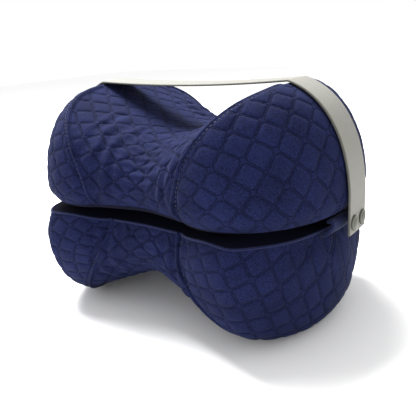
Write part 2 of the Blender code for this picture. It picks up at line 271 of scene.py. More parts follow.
def seam_x(half, angle):
    """Where the seam lies along X."""
    up = rounded_square(angle, half["shoulder_power"])[1]
    return half["seam_at_side"] + (half["seam"] - half["seam_at_side"]) * up * up


def saddle_point(half, along, angle):
    """Points of the saddle panel: along is 0 at the waist and 1 or -1 at the seams."""
    reach = seam_x(half, angle)
    seam = lobe_form(half, reach, angle)
    across, up = rounded_square(angle, WAIST_POWER)
    edge = edge_height(half, 0.0)
    soft = half["softness"]
    rise = (np.sqrt(along * along + soft * soft) - soft) / (math.sqrt(1 + soft * soft) - soft)
    waist_y = -half["waist_width"] * across
    waist_z = edge + (half["waist"] - edge) * up
    y = waist_y + (seam[..., 1] - waist_y) * rise
    z = waist_z + (seam[..., 2] - waist_z) * rise
    return curled(half, np.stack(np.broadcast_arrays(along * reach, y, z), axis=-1))


def run_lengths(points):
    """Distance from the first point to each one, along the first axis."""
    steps = np.linalg.norm(np.diff(points, axis=0), axis=-1)
    return np.concatenate([np.zeros_like(steps[:1]), np.cumsum(steps, axis=0)])


def pad_noise(u, v, seed):
    """A fixed number from 0 to 1 for each quilted pad."""
    mixed = np.sin(np.floor(u) * 127.1 + np.floor(v) * 311.7 + seed * 74.7) * 43758.5453
    return mixed - np.floor(mixed)


def slow_noise(points, scale, seed):
    """Smooth unevenness from -1 to 1, made of a few waves."""
    random = np.random.default_rng(seed)
    total = np.zeros(points.shape[:-1])
    for _ in range(7):
        way = random.normal(size=3)
        way *= random.uniform(0.6, 1.5) / (np.linalg.norm(way) * scale)
        total += np.sin(points @ way * 2 * math.pi + random.uniform(0, 2 * math.pi))
    return total / 7


def quilt_relief(u, v, seed):
    """Height of the quilting, with u and v in cells: padded squares between paired sewn lines."""
    near_u = np.round(u)
    near_v = np.round(v)
    even = np.mod(near_u + near_v, 2) < 0.5
    corner = np.where(even, ROUND_CORNER, PLAIN_CORNER)
    half_pad = QUILT_CELL / 2 - QUILT_LINE_FROM_MIDDLE
    reach_u = (0.5 - np.abs(u - near_u)) * QUILT_CELL - half_pad + corner
    reach_v = (0.5 - np.abs(v - near_v)) * QUILT_CELL - half_pad + corner
    outside = np.hypot(np.maximum(reach_u, 0), np.maximum(reach_v, 0))
    gap = outside + np.minimum(np.maximum(reach_u, reach_v), 0) - corner
    inside = np.maximum(-gap, 0)
    height = PAD_HEIGHT * (PAD_LEAST + PAD_SPREAD * pad_noise(u, v, seed))
    pad = height * (1 - np.exp(-inside / PAD_SHOULDER))
    line = LINE_DEPTH * np.exp(-((gap / LINE_WIDTH) ** 2))
    strip = STRIP_HEIGHT * smooth(gap / QUILT_LINE_FROM_MIDDLE)
    return pad - line + strip - QUILT_SINK


def welt_relief(distance):
    """Rolled seam allowance beside the seam on the saddle's side, with its crease."""
    across = np.clip(distance / WELT_WIDTH, 0, 1)
    roll = WELT_HEIGHT * np.sqrt(np.clip(np.sin(math.pi * across), 0, 1))
    crease = CREASE_DEPTH * np.exp(-((distance / CREASE_WIDTH) ** 2))
    return roll - crease


def turned(s, t, quilt):
    """Turn flat places into cells of the quilting, by a panel's turn and shifts."""
    degrees, shift_u, shift_v = quilt
    turn = math.radians(degrees)
    u = (s * math.cos(turn) + t * math.sin(turn)) / QUILT_CELL - shift_u
    v = (t * math.cos(turn) - s * math.sin(turn)) / QUILT_CELL - shift_v
    return u, v


def grid_faces(rows, columns, start):
    """Quads of a grid of points, as rows of four indices."""
    index = np.arange(rows * columns).reshape(rows, columns) + start
    corners = (index[:-1, :-1], index[:-1, 1:], index[1:, 1:], index[1:, :-1])
    return np.stack([corner.ravel() for corner in corners], axis=1)


def saddle_grid(half, angles):
    """Dense saddle panel: points, flat cell coordinates and relief."""
    along = np.linspace(-1, 1, SADDLE_STEPS + 1)
    points = saddle_point(half, along[None, :], angles[:, None])
    rows = run_lengths(saddle_point(half, MEASURED_AT, angles))
    rows = rows - rows[-1] / 2
    middle = SADDLE_STEPS // 2
    width = np.linalg.norm(np.diff(points[:, middle:], axis=1), axis=-1).sum(axis=1)
    s = along[None, :] * width[:, None]
    t = np.broadcast_to(rows[:, None], s.shape)
    u, v = turned(s, t, half["saddle_quilt"])
    from_seam = (1 - np.abs(along))[None, :] * width[:, None]
    from_edge = rows[-1] - np.abs(t)
    fade = smooth((from_seam - WELT_WIDTH) / QUILT_FADE) * smooth(from_edge / QUILT_EDGE_FADE)
    relief = quilt_relief(u, v, half["seed"]) * fade + welt_relief(from_seam)
    gather = np.exp(-((along[None, :] / GATHER_SPREAD) ** 2))
    gather = gather * smooth((np.abs(t) - GATHER_FROM_MIDDLE) / GATHER_FROM_MIDDLE)
    folds = np.sin(t * 2 * math.pi / GATHER_SPACING + GATHER_SWAY * np.sin(s * GATHER_SWAY_RATE))
    relief = relief + GATHER_HEIGHT * gather * folds * smooth(from_edge / GATHER_EDGE_FADE)
    return points, u, v, relief


def cap_tables(half):
    """Distances from the tip along the end panel, and the X places that go with them."""
    centre = half["lobe_centre"]
    outer = centre + (half["length"] - centre) * np.cos(np.linspace(0, math.pi / 2, CAP_TABLE_STEPS[0]))
    xs = np.concatenate([outer, np.linspace(centre, half["seam_at_side"], CAP_TABLE_STEPS[1])[1:]])
    meridian = np.stack([xs, half["lobe_width"] * lobe_swell(half, xs, half["plan_power"])], axis=1)
    return xs, run_lengths(meridian)


def cap_grid(half, angles):
    """Dense end panel round the tip: points, flat cell coordinates and relief."""
    xs, runs = cap_tables(half)
    limit = np.interp(-seam_x(half, angles), -xs, runs)
    share = np.linspace(0, 1, CAP_STEPS + 1) ** CAP_CROWDING
    run = limit[:, None] * share[None, :]
    x = np.interp(run, runs, xs)
    x[:, -1] = seam_x(half, angles)
    points = lobe_point(half, x, angles[:, None])
    s = run * np.cos(angles)[:, None]
    t = run * np.sin(angles)[:, None]
    u, v = turned(s, t, half["cap_quilt"])
    from_seam = limit[:, None] - run
    fade = smooth((from_seam - CAP_FADE_START) / QUILT_FADE) * smooth(t / QUILT_EDGE_FADE)
    relief = quilt_relief(u, v, half["seed"] + 3) * fade
    relief = relief - CREASE_DEPTH * np.exp(-((from_seam / CREASE_WIDTH) ** 2))
    return points, u, v, relief


def facing_grid(half, near):
    """Rolled edge and plain facing between the near side's edge and the far side's, as one grid."""
    spine = np.zeros_like(near)
    spine[:, 0] = np.clip(near[:, 0], -half["lobe_centre"], half["lobe_centre"])
    inward = spine - near
    inward[:, 2] = 0
    inward /= np.linalg.norm(inward, axis=1)[:, None]
    columns = [near]
    rolls = half["edge_roll"]
    for inset, share in rolls + ((rolls[-1][0] + FACING_EASE, 0.0),):
        column = near + inward * inset
        column[:, 2] = FACING_LEVEL + (near[:, 2] - FACING_LEVEL) * share
        columns.append(column)
    flip = np.array((1, -1, 1))
    flat = columns[-1]
    middle = [flat + (flat * flip - flat) * step / FACING_STEPS for step in range(1, FACING_STEPS)]
    far = [column * flip for column in reversed(columns)]
    return np.stack(columns + middle + far, axis=1)


def pressed_flat(points, relief):
    """The strap presses the quilting under it."""
    far = smooth((np.abs(points[..., 1]) - PRESSED_HALF_WIDTH) / PRESSED_FADE)
    kept = np.where(relief > 0, far, PRESSED_LEFT + (1 - PRESSED_LEFT) * far)
    return relief * kept


def cushion_arrays(half):
    """One closed half as arrays: points, quads, cell coordinates and relief."""
    angles = np.linspace(0, math.pi, ACROSS_STEPS + 1)
    saddle = saddle_grid(half, angles)
    right = cap_grid(half, angles)
    mirror = np.array((-1, 1, 1))
    left = (right[0] * mirror, right[1], right[2], right[3])
    near = np.concatenate([left[0][0], saddle[0][0, 1:], right[0][0, ::-1][1:]])
    facing = facing_grid(half, near)
    plain = np.full(facing.shape[:-1], FACING_CELL)
    rolled = plain.copy()
    rolled[:, (0, -1)] = ROLLED_CELL
    panels = [saddle, right, left, (facing, plain, rolled, np.zeros_like(plain))]
    points = []
    faces = []
    cells = []
    heights = []
    start = 0
    for grid, u, v, relief in panels:
        rows, columns = grid.shape[:2]
        points.append(grid.reshape(-1, 3))
        cells.append(np.stack([u.ravel(), v.ravel()], axis=1))
        heights.append(pressed_flat(grid, relief).ravel())
        faces.append(grid_faces(rows, columns, start))
        start += rows * columns
    return np.concatenate(points), np.concatenate(faces), np.concatenate(cells), np.concatenate(heights)


def closed_mesh(mesh):
    """Merge what meets, turn the faces outwards and shade the mesh smooth."""
    bm = bmesh.new()
    bm.from_mesh(mesh)
    bmesh.ops.remove_doubles(bm, verts=bm.verts, dist=MERGE_DISTANCE)
    bmesh.ops.recalc_face_normals(bm, faces=bm.faces)
    if bm.calc_volume(signed=True) < 0:
        bmesh.ops.reverse_faces(bm, faces=bm.faces)
    bm.to_mesh(mesh)
    bm.free()
    mesh.shade_smooth()


def cloth_folds(points, half):
    """Soft folds that run along the seams at the waist, and puckers at the edge by the end band."""
    x = np.abs(points[:, 0])
    drift = slow_noise(points, FOLD_DRIFT_SCALE, half["seed"] + 3)
    fold = np.sin(2 * math.pi * x / FOLD_SPACING + FOLD_DRIFT * drift)
    at_waist = eased(x, FOLD_FADE_IN) * (1 - eased(x, FOLD_FADE_OUT))
    at_side = smooth((np.abs(points[:, 1]) - FOLD_FROM_MIDDLE) / FOLD_FROM_MIDDLE)
    relief = FOLD_HEIGHT * fold * at_waist * at_side
    if half["pucker_y"] is not None:
        below = np.abs(points[:, 2] - PUCKER_LEVEL)
        near_end = eased(points[:, 0], PUCKER_FADE_IN)
        for offset, depth in PUCKERS:
            slant = points[:, 1] - half["pucker_y"] - offset * (1 + below / PUCKER_FAN)
            fall = (slant / PUCKER_WIDTH) ** 2 + (below / PUCKER_LENGTH) ** 2
            relief -= depth * np.exp(-fall) * near_end
    return relief


def make_half(half):
    """Mesh one filled half and raise its quilting, welts and folds."""
    points, faces, cells, heights = cushion_arrays(half)
    bulge = slow_noise(points, BULGE_SCALE, half["seed"])
    beside_strap = eased(np.abs(points[:, 1]), BULGE_FROM_STRAP)
    heights = heights + BULGE_HEIGHT * bulge * eased(points[:, 2], BULGE_FADE) * beside_strap
    over_edge = eased(points[:, 2] - half["edge_z"][0], FOLD_EDGE_FADE)
    heights = heights + cloth_folds(points, half) * over_edge
    placed = points.copy()
    placed[:, 2] = MIDDLE + half["side"] * points[:, 2]
    mesh = bpy.data.meshes.new(half["name"])
    mesh.from_pydata(placed.tolist(), [], faces.tolist())
    relief = mesh.attributes.new("relief", "FLOAT", "POINT")
    relief.data.foreach_set("value", heights.astype(np.float32))
    layer = mesh.uv_layers.new(name="quilt")
    corners = np.empty(len(mesh.loops), dtype=np.int32)
    mesh.loops.foreach_get("vertex_index", corners)
    layer.data.foreach_set("uv", cells[corners].astype(np.float32).ravel())
    closed_mesh(mesh)
    count = len(mesh.vertices)
    places = np.empty(count * 3, dtype=np.float32)
    normals = np.empty(count * 3, dtype=np.float32)
    lifts = np.empty(count, dtype=np.float32)
    mesh.vertices.foreach_get("co", places)
    mesh.vertex_normals.foreach_get("vector", normals)
    mesh.attributes["relief"].data.foreach_get("value", lifts)
    places = places.reshape(-1, 3) + normals.reshape(-1, 3) * lifts[:, None]
    places[:, 2] = np.maximum(places[:, 2], 0.0)
    mesh.vertices.foreach_set("co", places.ravel())
    mesh.update()
    item = bpy.data.objects.new(half["name"], mesh)
    bpy.context.collection.objects.link(item)
    return item


def linear(text):
    """Linear colour of an sRGB hex value."""
    values = [int(text[place:place + 2], 16) / 255 for place in (1, 3, 5)]
    return [v / 12.92 if v <= 0.04045 else ((v + 0.055) / 1.055) ** 2.4 for v in values] + [1.0]


def add(tree, kind, links=(), **settings):
    """Add a node, with its links and its own properties."""
    node = tree.nodes.new(kind)
    for name, value in settings.items():
        setattr(node, name, value)
    for socket, source in links:
        tree.links.new(source, node.inputs[socket])
    return node


def new_material(name):
    """Empty node material with its surface shader."""
    material = bpy.data.materials.new(name)
    material.use_nodes = True
    shader = material.node_tree.nodes["Principled BSDF"]
    return material, material.node_tree, shader


# Knit velour, a polyester jersey with a short brushed nap, quilted in squares by paired lines of stitches.
# The nap gives a dull face that turns lighter at grazing angles, and the sewn lines press it flat and dark.
KNIT_BODY = "#070a1f"
KNIT_LIGHT = "#1c2349"
KNIT_LINE = "#05071a"
KNIT_SHEEN = "#8f97c4"
KNIT_LOOP = 0.0009
SEWN_LINE_WIDTH = 0.00048
SEWN_LINE_SHARE = 0.62
NAP_PATCH_SCALE = 38
NAP_FINE = 1.9
NAP_BROAD = 0.8
NAP_START = 0.85
NAP_BUMP = 0.6
SEWN_BUMP = 0.9


def math_node(tree, operation, first, second=None):
    """Arithmetic on one or two values or outputs."""
    node = tree.nodes.new("ShaderNodeMath")
    node.operation = operation
    for socket, value in enumerate((first, second)):
        if value is None:
            continue
        if isinstance(value, (int, float)):
            node.inputs[socket].default_value = value
        else:
            tree.links.new(value, node.inputs[socket])
    return node.outputs[0]


def sewn_lines(tree):
    """Distance in cells from the edge of the quilted pads, negative inside a pad."""
    flat = add(tree, "ShaderNodeUVMap", uv_map="quilt")
    split = add(tree, "ShaderNodeSeparateXYZ", [(0, flat.outputs[0])])
    reaches = []
    nears = []
    for axis in (0, 1):
        near = math_node(tree, "FLOOR", math_node(tree, "ADD", split.outputs[axis], 0.5))
        away = math_node(tree, "ABSOLUTE", math_node(tree, "SUBTRACT", split.outputs[axis], near))
        nears.append(near)
        reaches.append(math_node(tree, "SUBTRACT", QUILT_LINE_FROM_MIDDLE / QUILT_CELL, away))
    parity = math_node(tree, "FLOORED_MODULO", math_node(tree, "ADD", *nears), 2)
    plain = math_node(tree, "GREATER_THAN", parity, 0.5)
    change = (PLAIN_CORNER - ROUND_CORNER) / QUILT_CELL
    corner = math_node(tree, "ADD", math_node(tree, "MULTIPLY", plain, change), ROUND_CORNER / QUILT_CELL)
    first = math_node(tree, "ADD", reaches[0], corner)
    second = math_node(tree, "ADD", reaches[1], corner)
    over_first = math_node(tree, "MAXIMUM", first, 0)
    over_second = math_node(tree, "MAXIMUM", second, 0)
    squares = math_node(
        tree, "ADD", math_node(tree, "MULTIPLY", over_first, over_first),
        math_node(tree, "MULTIPLY", over_second, over_second),
    )
    under = math_node(tree, "MINIMUM", math_node(tree, "MAXIMUM", first, second), 0)
    total = math_node(tree, "ADD", math_node(tree, "SQRT", squares), under)
    return math_node(tree, "SUBTRACT", total, corner)


def knit_velour():
    """Quilted navy knit: mottled nap, with darker sunk lines where it is sewn."""
    material, tree, shader = new_material("navy_knit_velour")
    place = add(tree, "ShaderNodeTexCoord").outputs["Object"]
    gap = sewn_lines(tree)
    width = math_node(tree, "DIVIDE", gap, SEWN_LINE_WIDTH / QUILT_CELL)
    fall = math_node(tree, "MULTIPLY", math_node(tree, "MULTIPLY", width, width), -1)
    line = math_node(tree, "POWER", 2.718, fall)
    loops = add(tree, "ShaderNodeTexNoise", [("Vector", place)])
    loops.inputs["Scale"].default_value = 1 / KNIT_LOOP
    loops.inputs["Detail"].default_value = 2
    patches = add(tree, "ShaderNodeTexNoise", [("Vector", place)])
    patches.inputs["Scale"].default_value = NAP_PATCH_SCALE
    patches.inputs["Detail"].default_value = 4
    tone = add(tree, "ShaderNodeMix", data_type="RGBA")
    tone.inputs[6].default_value = linear(KNIT_BODY)
    tone.inputs[7].default_value = linear(KNIT_LIGHT)
    fine = math_node(tree, "MULTIPLY", loops.outputs[0], NAP_FINE)
    broad = math_node(tree, "MULTIPLY", patches.outputs[0], NAP_BROAD)
    spread = math_node(tree, "SUBTRACT", math_node(tree, "ADD", fine, broad), NAP_START)
    tree.links.new(spread, tone.inputs[0])
    tone.clamp_factor = True
    sewn = add(tree, "ShaderNodeMix", [(6, tone.outputs[2])], data_type="RGBA")
    sewn.inputs[7].default_value = linear(KNIT_LINE)
    tree.links.new(math_node(tree, "MULTIPLY", line, SEWN_LINE_SHARE), sewn.inputs[0])
    tree.links.new(sewn.outputs[2], shader.inputs["Base Color"])
    raised = math_node(tree, "MULTIPLY", loops.outputs[0], NAP_BUMP)
    height = math_node(tree, "SUBTRACT", raised, math_node(tree, "MULTIPLY", line, SEWN_BUMP))
    bump = add(tree, "ShaderNodeBump", [("Height", height)])
    bump.inputs["Strength"].default_value = 0.55
    bump.inputs["Distance"].default_value = 0.0006
    tree.links.new(bump.outputs[0], shader.inputs["Normal"])
    shader.inputs["Roughness"].default_value = 0.92
    shader.inputs["Specular IOR Level"].default_value = 0.08
    shader.inputs["Sheen Weight"].default_value = 0.045
    shader.inputs["Sheen Roughness"].default_value = 0.45
    shader.inputs["Sheen Tint"].default_value = linear(KNIT_SHEEN)
    return material


knit_velour_material = knit_velour()
for half in (UPPER, LOWER):
    cushion = make_half(half)
    cushion.data.materials.append(knit_velour_material)
    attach(cushion, "root")
    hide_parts(half["node"])

# The inner facings: plain knit that closes each half where the two halves meet, painted navy-black.
# This is painted shade for the dark mouth between the halves. The narrow rolled edge beside them keeps the
# cover's cloth.
# Navy-black painted shade of the mouth, put into the facing's colour.
MOUTH_SHADE_COLOUR = "#07081a"
mouth_shade_material, _, mouth_shade_shader = new_material("facing_painted_mouth_shade")
mouth_shade_shader.inputs["Base Color"].default_value = linear(MOUTH_SHADE_COLOUR)
mouth_shade_shader.inputs["Roughness"].default_value = 0.95
mouth_shade_shader.inputs["Specular IOR Level"].default_value = 0.1
# Every face of the plain facing, found by its cell mark, gets the painted shade of the mouth.
for name in ("upper_half", "lower_half"):
    item = bpy.data.objects[name]
    item.data.materials.append(mouth_shade_material)
    quilt_map = item.data.uv_layers["quilt"].data
    for polygon in item.data.polygons:
        corners = [quilt_map[loop].uv for loop in polygon.loop_indices]
        if max(abs(u - FACING_CELL) + abs(v - FACING_CELL) for u, v in corners) < 1e-4:
            polygon.material_index = 1

# The strap: a flat grey woven elastic band, 30 mm wide, stretched from end to end over both crowns.
# It hangs free across the saddle, presses the quilting flat on the crowns, and is held by snaps at its ends.
STRAP_WIDTH = 0.030
STRAP_THICKNESS = 0.0015
STRAP_CLEARANCE = 0.0006
STRAP_END = -0.0145
STRAP_SAG = 0.0030
STRAP_STEP = 0.0010
STRAP_EDGE_STEPS = 5
STRAP_FACE_STEPS = 16
STRAP_TAIL_STEPS = 24
STRAP_OVER_STEPS = 60
STRAP_SPAN_STEPS = 121
ELASTIC_BODY = "#89887f"
ELASTIC_RIB = "#4c4b45"
ELASTIC_EDGE = "#4a4943"
RIB_SPACING = 0.0011
WARP_SPACING = 0.0013


def strap_over():
    """Line of the upper half's end under the strap, from its furthest point up to the seam."""
    turn = np.linspace(0, math.pi / 2, STRAP_OVER_STEPS)
    x = UPPER["seam"] + (UPPER["length"] - UPPER["seam"]) * np.cos(turn)
    over = lobe_point(UPPER, x, np.full_like(x, math.pi / 2))[:, (0, 2)]
    return over[int(np.argmax(over[:, 0])):]


def strap_line():
    """Strap's inner face in X and height over the plane between the halves, in even steps."""
    over = strap_over()
    run = np.gradient(over, axis=0)
    outward = np.stack([run[:, 1], -run[:, 0]], axis=1)
    outward /= np.linalg.norm(outward, axis=1)[:, None]
    raised = over[1:] + outward[1:] * STRAP_CLEARANCE
    levels = np.linspace(STRAP_END, over[0, 1], STRAP_TAIL_STEPS)
    tail = np.stack([np.full_like(levels, over[0, 0] + STRAP_CLEARANCE), levels], axis=1)
    side = np.concatenate([tail, raised])
    top = side[-1]
    along = np.linspace(1, -1, STRAP_SPAN_STEPS)[1:-1]
    span = np.stack([top[0] * along, top[1] - STRAP_SAG * (1 - along ** 2)], axis=1)
    line = np.concatenate([side, span, side[::-1] * np.array((-1, 1))])
    lengths = run_lengths(line)
    places = np.linspace(0, lengths[-1], int(lengths[-1] / STRAP_STEP))
    even = np.stack([np.interp(places, lengths, line[:, axis]) for axis in (0, 1)], axis=1)
    return even, lengths[-1]


def strap_section():
    """Closed outline of the band: place across it, height over its inner face."""
    half = STRAP_THICKNESS / 2
    flat = np.linspace(-1, 1, STRAP_FACE_STEPS + 1) * (STRAP_WIDTH / 2 - half)
    turn = np.linspace(-math.pi / 2, math.pi / 2, STRAP_EDGE_STEPS + 1)[1:-1]
    edge = STRAP_WIDTH / 2 - half
    round_edge = [(edge + half * math.cos(a), half + half * math.sin(a)) for a in turn]
    outline = [(y, 0.0) for y in flat] + round_edge + [(y, STRAP_THICKNESS) for y in flat[::-1]]
    return outline + [(-y, z) for y, z in reversed(round_edge)]


def swept_mesh(name, rings, marks):
    """Closed mesh through rings of points, with two marks a point kept as a map."""
    count = len(rings[0])
    points = [tuple(place) for ring in rings for place in ring]
    faces = []
    for row in range(len(rings) - 1):
        for index in range(count):
            after = (index + 1) % count
            start = row * count
            faces.append((start + index, start + after, start + count + after, start + count + index))
    faces.append(tuple(range(count)))
    faces.append(tuple(range((len(rings) - 1) * count, len(rings) * count)))
    mesh = bpy.data.meshes.new(name)
    mesh.from_pydata(points, [], faces)
    layer = mesh.uv_layers.new(name="across_and_along")
    for loop in mesh.loops:
        layer.data[loop.index].uv = marks[loop.vertex_index]
    closed_mesh(mesh)
    item = bpy.data.objects.new(name, mesh)
    bpy.context.collection.objects.link(item)
    return item


def make_strap():
    """Sweep the band's section along its line."""
    line, length = strap_line()
    run = np.gradient(line, axis=0)
    run /= np.linalg.norm(run, axis=1)[:, None]
    outward = np.stack([run[:, 1], -run[:, 0]], axis=1)
    section = strap_section()
    rings = []
    marks = []
    for index, (place, out) in enumerate(zip(line, outward)):
        ring = []
        for y, lift in section:
            point = place + out * lift
            ring.append((point[0], y, MIDDLE + point[1]))
            marks.append((y, index * STRAP_STEP))
        rings.append(ring)
    return swept_mesh("strap_band", rings, marks), length


def woven_elastic():
    """Woven elastic: a fine, even weave, and darker along each edge."""
    material, tree, shader = new_material("grey_woven_elastic")
    flat = add(tree, "ShaderNodeUVMap", uv_map="across_and_along")
    split = add(tree, "ShaderNodeSeparateXYZ", [(0, flat.outputs[0])])
    rib = math_node(tree, "SINE", math_node(tree, "MULTIPLY", split.outputs[1], 2 * math.pi / RIB_SPACING))
    warp = math_node(tree, "SINE", math_node(tree, "MULTIPLY", split.outputs[0], 2 * math.pi / WARP_SPACING))
    crossed = math_node(tree, "MULTIPLY", rib, warp)
    weave = math_node(tree, "MULTIPLY", math_node(tree, "ADD", crossed, 1), 0.5)
    tone = add(tree, "ShaderNodeMix", [(0, weave)], data_type="RGBA")
    tone.inputs[6].default_value = linear(ELASTIC_RIB)
    tone.inputs[7].default_value = linear(ELASTIC_BODY)
    away = math_node(tree, "ABSOLUTE", split.outputs[0])
    # The colour turns darker over the last 1.6 mm towards each edge.
    edge_darkening = add(tree, "ShaderNodeMapRange", [(0, away)])
    edge_darkening.inputs[1].default_value = STRAP_WIDTH / 2 - 0.0016
    edge_darkening.inputs[2].default_value = STRAP_WIDTH / 2 - 0.0008
    edged = add(tree, "ShaderNodeMix", [(0, edge_darkening.outputs[0]), (6, tone.outputs[2])], data_type="RGBA")
    edged.inputs[7].default_value = linear(ELASTIC_EDGE)
    tree.links.new(edged.outputs[2], shader.inputs["Base Color"])
    bump = add(tree, "ShaderNodeBump", [("Height", weave)])
    bump.inputs["Strength"].default_value = 0.5
    bump.inputs["Distance"].default_value = 0.0003
    tree.links.new(bump.outputs[0], shader.inputs["Normal"])
    shader.inputs["Roughness"].default_value = 0.72
    shader.inputs["Sheen Weight"].default_value = 0.15
    shader.inputs["Sheen Roughness"].default_value = 0.5
    return material


strap, strap_length = make_strap()
strap.data.materials.append(woven_elastic())

# The snap caps: domed press studs of moulded grey acetal, two on each end of the strap.
# Each has a rolled rim, a shallow ring and a slightly raised crown, and sits flat on the band.
SNAP_RADIUS = 0.0055
SNAP_HEIGHT = 0.0021
SNAP_SPACING = 0.0150
SNAP_LEVEL = -0.0064
SNAP_SEAT_GAP = 0.0003
SNAP_SEGMENTS = 48
SNAP_PROFILE = (
    (0.86, -0.10), (0.96, -0.02), (1.0, 0.10), (1.0, 0.26), (0.975, 0.40), (0.93, 0.49), (0.86, 0.54),
    (0.80, 0.54), (0.74, 0.56), (0.66, 0.66), (0.56, 0.78), (0.44, 0.88), (0.30, 0.95), (0.15, 0.99),
    (0.05, 1.0),
)
ACETAL_BODY = "#4b4d42"


def moulded_acetal():
    """Moulded acetal: smooth, with a soft satin gloss and very fine grain."""
    material, tree, shader = new_material("grey_moulded_acetal")
    place = add(tree, "ShaderNodeTexCoord").outputs["Object"]
    grain = add(tree, "ShaderNodeTexNoise", [("Vector", place)])
    grain.inputs["Scale"].default_value = 2500
    bump = add(tree, "ShaderNodeBump", [("Height", grain.outputs[0])])
    bump.inputs["Strength"].default_value = 0.15
    bump.inputs["Distance"].default_value = 0.0001
    tree.links.new(bump.outputs[0], shader.inputs["Normal"])
    shader.inputs["Base Color"].default_value = linear(ACETAL_BODY)
    shader.inputs["Roughness"].default_value = 0.55
    shader.inputs["IOR"].default_value = 1.48
    return material


acetal_material = moulded_acetal()
snap_seat = strap_over()[0, 0] + STRAP_CLEARANCE + STRAP_THICKNESS + SNAP_SEAT_GAP
for side, side_name in ((1, "right"), (-1, "left")):
    for way, way_name in ((-1, "near"), (1, "far")):
        rings = []
        marks = []
        for reach, height in SNAP_PROFILE:
            ring = []
            for step in range(SNAP_SEGMENTS):
                turn = 2 * math.pi * step / SNAP_SEGMENTS
                y = way * SNAP_SPACING / 2 + SNAP_RADIUS * reach * math.cos(turn)
                z = MIDDLE + SNAP_LEVEL + SNAP_RADIUS * reach * math.sin(turn)
                ring.append((side * (snap_seat + SNAP_HEIGHT * height), y, z))
                marks.append((reach, step / SNAP_SEGMENTS))
            rings.append(ring)
        snap = swept_mesh(f"snap_cap_{side_name}_{way_name}", rings, marks)
        snap.data.materials.append(acetal_material)
        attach(snap, "root")
        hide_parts(f"snap_{side_name}_{way_name}")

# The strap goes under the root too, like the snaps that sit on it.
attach(strap, "root")
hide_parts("strap")

# The end bands: navy knit that closes the mouth behind the strap, bowed out, with a rolled hem at each side.
# Each is sewn to the covers of both halves, and shows two rows of stitches beside its hem.
BAND_HALF_SPAN = 0.027
BAND_THICKNESS = 0.0015
BAND_HEM_FROM_END = 0.0016
BAND_HEM_WIDTH = 0.0014
BAND_HEM_THICKER = 0.0016
BAND_HEM_LIFT = 0.0010
BAND_STEPS = 60
BAND_SPREAD = (0.02, -0.03, -0.06, -0.06, -0.02, 0.05, 0.14, 0.22)
BAND_PROFILE = (
    (0.0072, -0.0006), (0.0052, -0.0013), (0.0040, -0.0028), (0.0036, -0.0048), (0.0038, -0.0070),
    (0.0046, -0.0092), (0.0060, -0.0110), (0.0084, -0.0122),
)


def upper_outline(y):
    """Outline of the upper half round its tip, and the way out from it."""
    power = UPPER["plan_power"]
    to_tip = UPPER["length"] - UPPER["lobe_centre"]
    share = np.abs(y) / UPPER["lobe_width"]
    reach = (1 - share ** power) ** (1 / power)
    sideways = math.copysign(share ** (power - 1), y) / UPPER["lobe_width"]
    outward = np.array((reach ** (power - 1) / to_tip, sideways))
    return np.array((UPPER["lobe_centre"] + to_tip * reach, y)), outward / np.linalg.norm(outward)


def band_profile(thickness):
    """Closed section of the band, as insets and heights, with its inner face set back."""
    middle = np.array(BAND_PROFILE)
    run = np.gradient(middle, axis=0)
    run /= np.linalg.norm(run, axis=1)[:, None]
    inward = np.stack([-run[:, 1], run[:, 0]], axis=1)
    return np.concatenate([middle, (middle + inward * thickness)[::-1]])


def plain_knit():
    """Plain navy knit: fine, uneven loops with a dull face."""
    material, tree, shader = new_material("navy_plain_knit")
    place = add(tree, "ShaderNodeTexCoord").outputs["Object"]
    loops = add(tree, "ShaderNodeTexNoise", [("Vector", place)])
    loops.inputs["Scale"].default_value = 1 / KNIT_LOOP
    tone = add(tree, "ShaderNodeMix", [(0, loops.outputs[0])], data_type="RGBA")
    tone.inputs[6].default_value = linear(KNIT_LINE)
    tone.inputs[7].default_value = linear(KNIT_LIGHT)
    tree.links.new(tone.outputs[2], shader.inputs["Base Color"])
    bump = add(tree, "ShaderNodeBump", [("Height", loops.outputs[0])])
    bump.inputs["Strength"].default_value = 0.5
    bump.inputs["Distance"].default_value = 0.0004
    tree.links.new(bump.outputs[0], shader.inputs["Normal"])
    shader.inputs["Roughness"].default_value = 0.9
    shader.inputs["Specular IOR Level"].default_value = 0.15
    shader.inputs["Sheen Weight"].default_value = 0.2
    shader.inputs["Sheen Tint"].default_value = linear(KNIT_SHEEN)
    return material


plain_knit_material = plain_knit()
for side, side_name in ((1, "right"), (-1, "left")):
    rings = []
    marks = []
    for step in range(BAND_STEPS + 1):
        y = BAND_HALF_SPAN * (2 * step / BAND_STEPS - 1)
        hem = math.exp(-(((BAND_HALF_SPAN - BAND_HEM_FROM_END - abs(y)) / BAND_HEM_WIDTH) ** 2))
        ring = []
        spreads = BAND_SPREAD + BAND_SPREAD[::-1]
        section = band_profile(BAND_THICKNESS + hem * BAND_HEM_THICKER)
        for spread, (inset, height) in zip(spreads, section):
            place, outward = upper_outline(y * (1 + spread))
            point = place - outward * (inset - hem * BAND_HEM_LIFT)
            ring.append((side * point[0], point[1], MIDDLE + height))
            marks.append((y, height))
        rings.append(ring)
    band = swept_mesh(f"end_band_{side_name}", rings, marks)
    band.data.materials.append(plain_knit_material)
    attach(band, "root")
    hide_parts(f"gusset_{side_name}")

